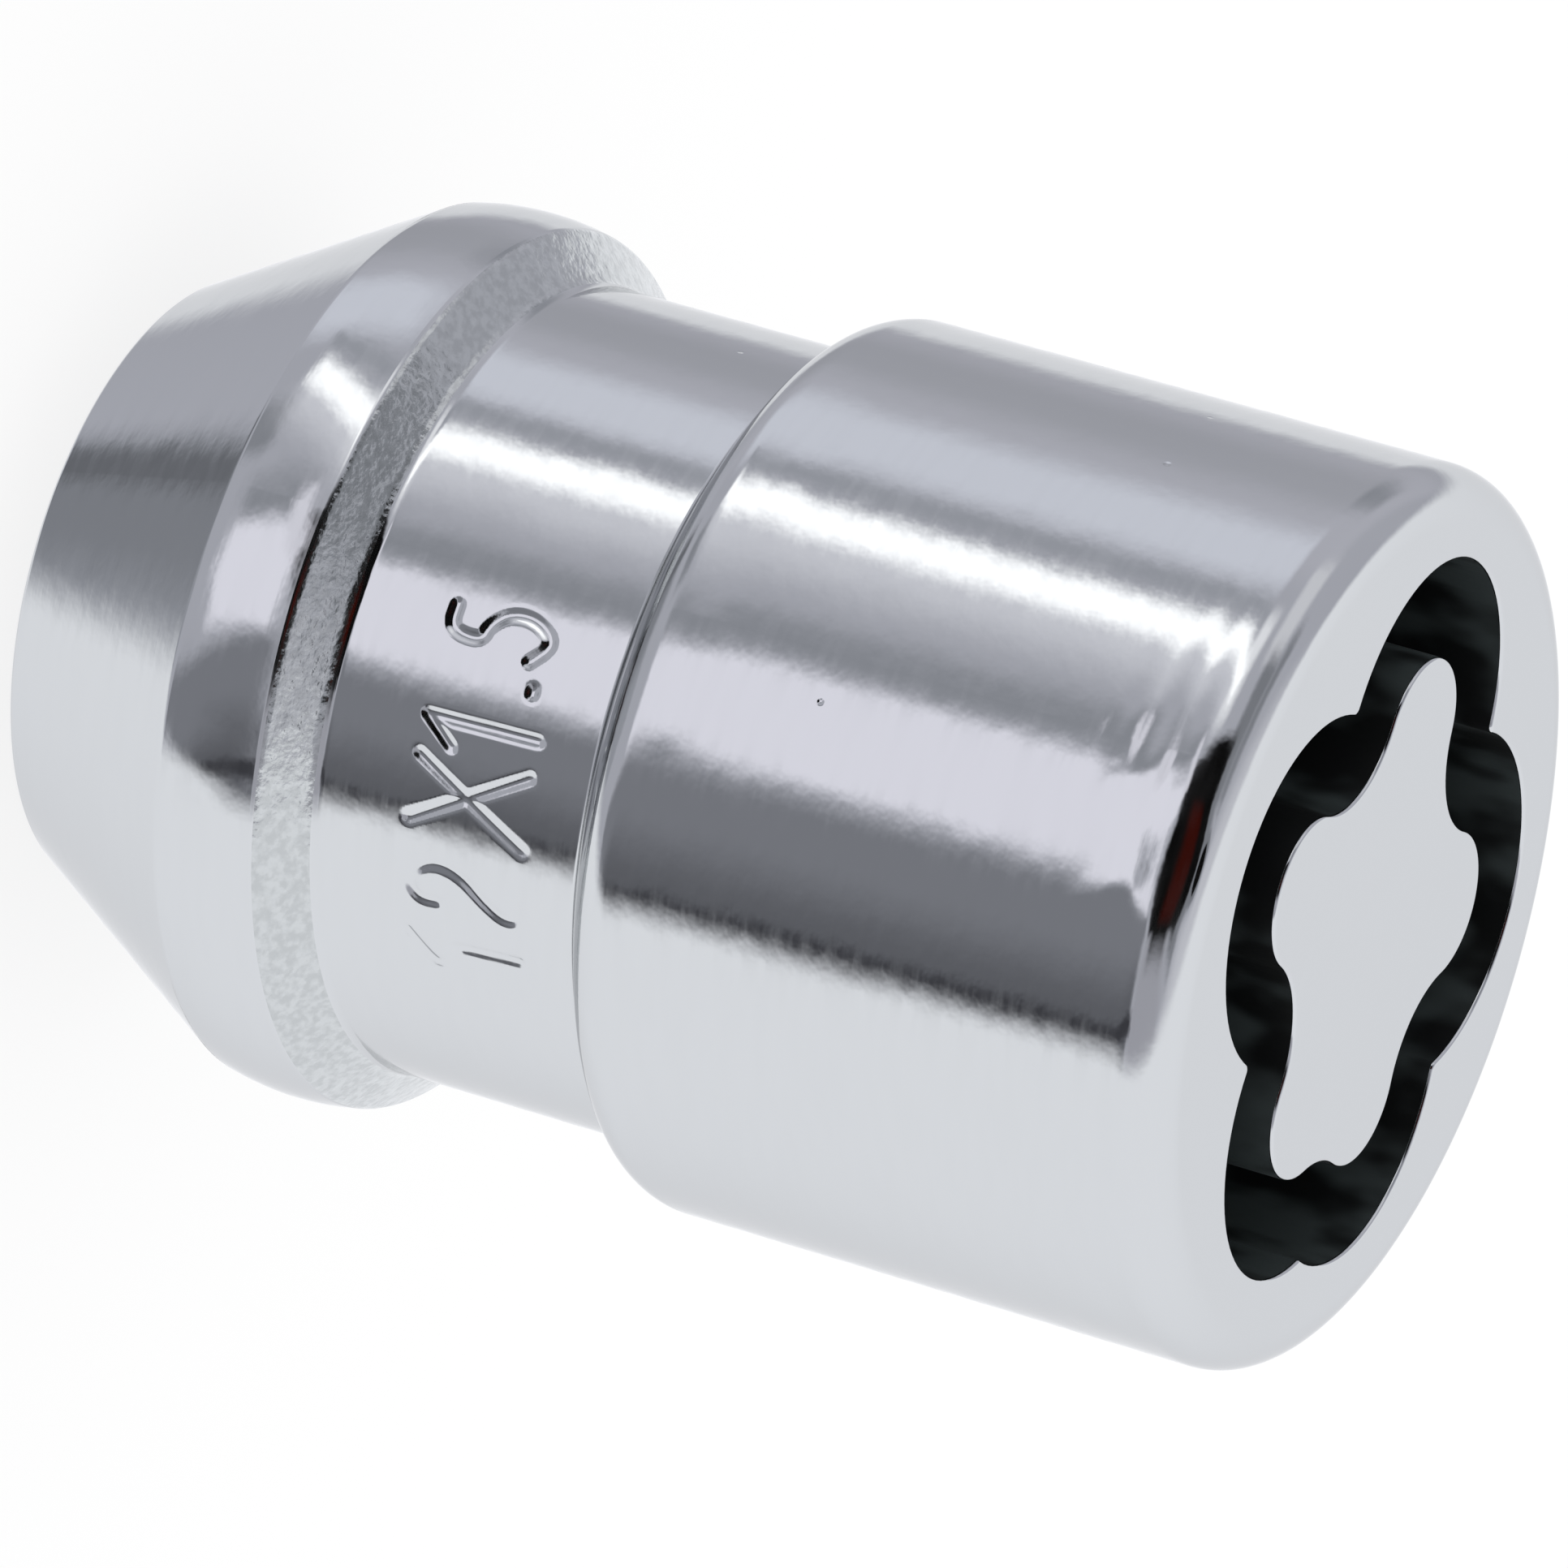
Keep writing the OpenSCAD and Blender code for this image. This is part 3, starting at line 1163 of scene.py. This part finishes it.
    def paint_world(self) -> None:
        """Light the scene evenly, and show the table and the cards to the plate's reflections alone."""
        world = bpy.data.worlds.new("studio")
        bpy.context.scene.world = world
        world.use_nodes = True
        tree = world.node_tree
        tree.nodes.clear()
        ray = add_node(tree, "ShaderNodeTexCoord").outputs["Generated"]
        dots = [
            add_node(tree, "ShaderNodeVectorMath", {0: ray, 1: axis}, operation="DOT_PRODUCT")
            for axis in self.axes()
        ]
        ceiling, right, up = (dot.outputs["Value"] for dot in dots)
        fall = math_node(tree, "MULTIPLY", math_node(tree, "ARCCOSINE", ceiling), 180 / math.pi)
        squared = math_node(tree, "MULTIPLY", ceiling, ceiling)
        reach = math_node(tree, "SQRT", math_node(tree, "SUBTRACT", ROOT_GUARD, squared))
        stretch = math_node(tree, "DIVIDE", fall, reach)
        x = math_node(tree, "MULTIPLY", right, stretch)
        y = math_node(tree, "MULTIPLY", up, stretch)
        light = self.shade(self.room_tint, self.room_level)
        for card in self.cards:
            light = mix_colours(tree, card.mask(tree, x, y), light, self.shade(card.tint, card.level))
            light.node.label = card.name
        on_table = smooth_step(tree, fall, self.table_at - self.table_soft, self.table_at + self.table_soft)
        light = mix_colours(tree, on_table, light, self.shade(self.table_tint, self.table_level))
        plain = add_node(tree, "ShaderNodeBackground", {"Color": WHITE})
        studio = add_node(tree, "ShaderNodeBackground", {"Color": light})
        glossy = add_node(tree, "ShaderNodeLightPath").outputs["Is Glossy Ray"]
        both = add_node(tree, "ShaderNodeMixShader", {0: glossy, 1: plain.outputs[0], 2: studio.outputs[0]})
        add_node(tree, "ShaderNodeOutputWorld", {"Surface": both.outputs[0]})

    @staticmethod
    def shade(tint: str, level: float) -> tuple[float, float, float, float]:
        """Return a tint at a level of light."""
        return (*(c * level for c in colour(tint)[:3]), 1.0)


@dataclass(frozen=True)
class PhotoCamera:
    """Long lens that looks down on the nut from its stamped side, rolled until the nut lies across the frame.

    The aim is a point on the nut's axis, and aim_px is where that point lands in the photograph's frame.
    """

    elevation: float = 23.44
    roll: float = 16.17
    distance: float = 373.1
    aim_z: float = 17.6
    aim_px: tuple[float, float] = (995.32, 943.78)
    lens: float = 361.0
    sensor: float = 36.0
    # Nearest and farthest that the camera sees, in metres
    clip: tuple[float, float] = (0.01, 10.0)

    def build(self) -> None:
        """Make the camera and set it as the scene's."""
        lift, roll = math.radians(self.elevation), math.radians(self.roll)
        back = Vector((0, -math.cos(lift), math.sin(lift)))
        axis = Vector((0, math.sin(lift), math.cos(lift)))
        side = Vector((1, 0, 0))
        right = axis * math.cos(roll) - side * math.sin(roll)
        up = -(axis * math.sin(roll) + side * math.cos(roll))
        mm_per_px = self.distance * self.sensor / (self.lens * PHOTO_PX)
        off_right = (self.aim_px[0] - PHOTO_PX / 2) * mm_per_px
        off_down = (self.aim_px[1] - PHOTO_PX / 2) * mm_per_px
        place = Vector((0, 0, self.aim_z)) + back * self.distance - right * off_right + up * off_down
        data = bpy.data.cameras.new("camera")
        data.lens = self.lens
        data.sensor_width = self.sensor
        data.clip_start, data.clip_end = self.clip
        camera = bpy.data.objects.new("camera", data)
        turned = Matrix((right, up, back)).transposed().to_4x4()
        turned.translation = place * MM
        camera.matrix_world = turned
        bpy.context.scene.collection.objects.link(camera)
        bpy.context.scene.camera = camera


def main() -> None:
    """Load the frame, build the nut, the studio and the camera."""
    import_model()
    PhotoCamera().build()
    finishes = [ChromePlate().make(), SatinSlope().make(), DarkGroove().make(), ThreadSteel().make()]
    body = NutBody().build(finishes)
    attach(body, BODY)
    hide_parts(NODE)
    log.info("%s: %d faces", body.name, len(body.data.polygons))
    thread = StudThread().build(finishes[Slot.THREAD.value])
    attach(thread, BODY)
    log.info("%s: %d faces", thread.name, len(thread.data.polygons))
    Studio().build()
    bpy.context.scene.view_settings.view_transform = "Standard"
    look_box = [list(corner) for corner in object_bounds()]
    log.info("sizes in mm: %s", [[round(v / MM, 3) for v in corner] for corner in look_box])


if __name__ == "__main__":
    logging.basicConfig(level=logging.INFO, format="%(message)s")
    main()
